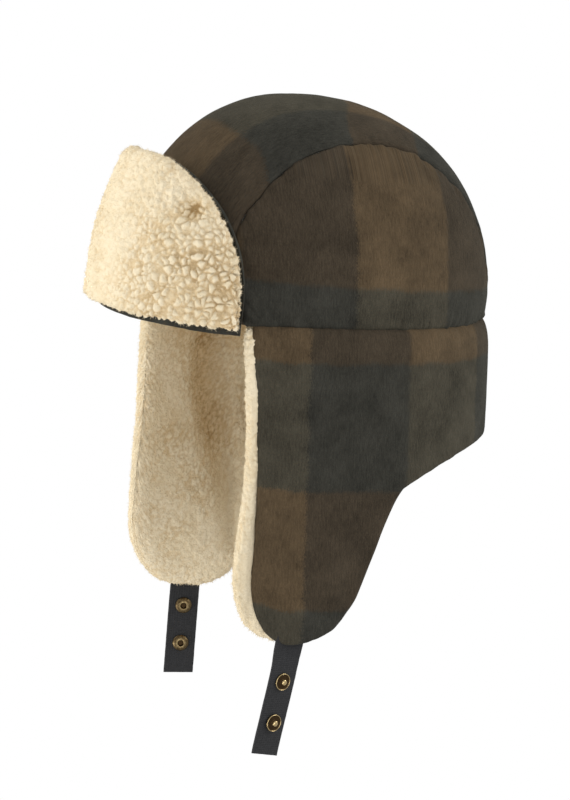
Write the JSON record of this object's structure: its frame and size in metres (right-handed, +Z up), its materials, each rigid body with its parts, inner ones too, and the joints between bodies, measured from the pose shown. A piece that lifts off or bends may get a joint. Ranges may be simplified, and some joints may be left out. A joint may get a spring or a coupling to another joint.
{
  "type": "trapper hat",
  "caption": "Plaid wool trapper hat with a pile-faced fold-up brim, a neck guard, fold-up ear flaps and webbing chin straps closed by press snaps.",
  "frame": {"origin": "centre of the head opening, in the plane of the seam under the crown", "axes": "+Z up through the crown, -Y towards the wearer's front, +X to the wearer's left"},
  "size_m": [0.192, 0.2598, 0.3867],
  "materials": {
    "plaid_wool": "brushed melton wool in a four-tone brown and dark green buffalo check",
    "sherpa_pile": "cream sherpa pile, curled and matte",
    "interlining": "bonded interlining felt",
    "webbing": "black woven webbing",
    "snap_brass": "antique brass, satin with worn bright edges"
  },
  "bodies": {
    "root": {"crown_shell_centre": "plaid_wool", "crown_shell_left": "plaid_wool", "crown_shell_right": "plaid_wool", "crown_interlining_centre": "interlining", "crown_interlining_left": "interlining", "crown_interlining_right": "interlining", "crown_lining_centre": "sherpa_pile", "crown_lining_left": "sherpa_pile", "crown_lining_right": "sherpa_pile", "neck_guard_shell_left": "plaid_wool", "neck_guard_shell_right": "plaid_wool", "neck_guard_lining_left": "sherpa_pile", "neck_guard_lining_right": "sherpa_pile", "brim_snap_stud_left": "snap_brass", "brim_snap_stud_right": "snap_brass"},
    "brim": {"brim_facing": "sherpa_pile", "brim_backing": "plaid_wool", "brim_interlining": "interlining", "brim_snap_socket_left": "snap_brass", "brim_snap_socket_right": "snap_brass"},
    "flap_left": {"earflap_shell_left": "plaid_wool", "earflap_lining_left": "sherpa_pile"},
    "flap_right": {"earflap_shell_right": "plaid_wool", "earflap_lining_right": "sherpa_pile"},
    "strap_left": {"chin_strap_left": "webbing", "snap_stud_left_upper": "snap_brass", "snap_post_left_upper": "snap_brass", "snap_stud_left_lower": "snap_brass", "snap_post_left_lower": "snap_brass"},
    "strap_right": {"chin_strap_right": "webbing", "snap_socket_right_upper": "snap_brass", "snap_cap_right_upper": "snap_brass", "snap_socket_right_lower": "snap_brass", "snap_cap_right_lower": "snap_brass"}
  },
  "joints": [
    {"name": "brim_fold", "type": "hinge", "parent": "root", "child": "brim", "pos_m": [0, -0.122, 0], "axis": [1, 0, 0], "range_deg": [0, 95]},
    {"name": "earflap_left_fold", "type": "hinge", "parent": "root", "child": "flap_left", "pos_m": [0.09576, -0.0177, -0.095], "axis": [-0.1303, -0.9915, 0], "range_deg": [0, 165]},
    {"name": "earflap_right_fold", "type": "hinge", "parent": "root", "child": "flap_right", "pos_m": [-0.08744, -0.01623, -0.09586], "axis": [-0.0028, 1, 0], "range_deg": [0, 165]},
    {"name": "chin_strap_left_swing", "type": "hinge", "parent": "flap_left", "child": "strap_left", "pos_m": [0.08858, -0.03191, -0.1903], "axis": [0.1882, -0.9682, 0.165], "range_deg": [-85, 30]},
    {"name": "chin_strap_right_swing", "type": "hinge", "parent": "flap_right", "child": "strap_right", "pos_m": [-0.0617, -0.0328, -0.1943], "axis": [0.342, 0.9397, 0], "range_deg": [-70, 30]}
  ]
}
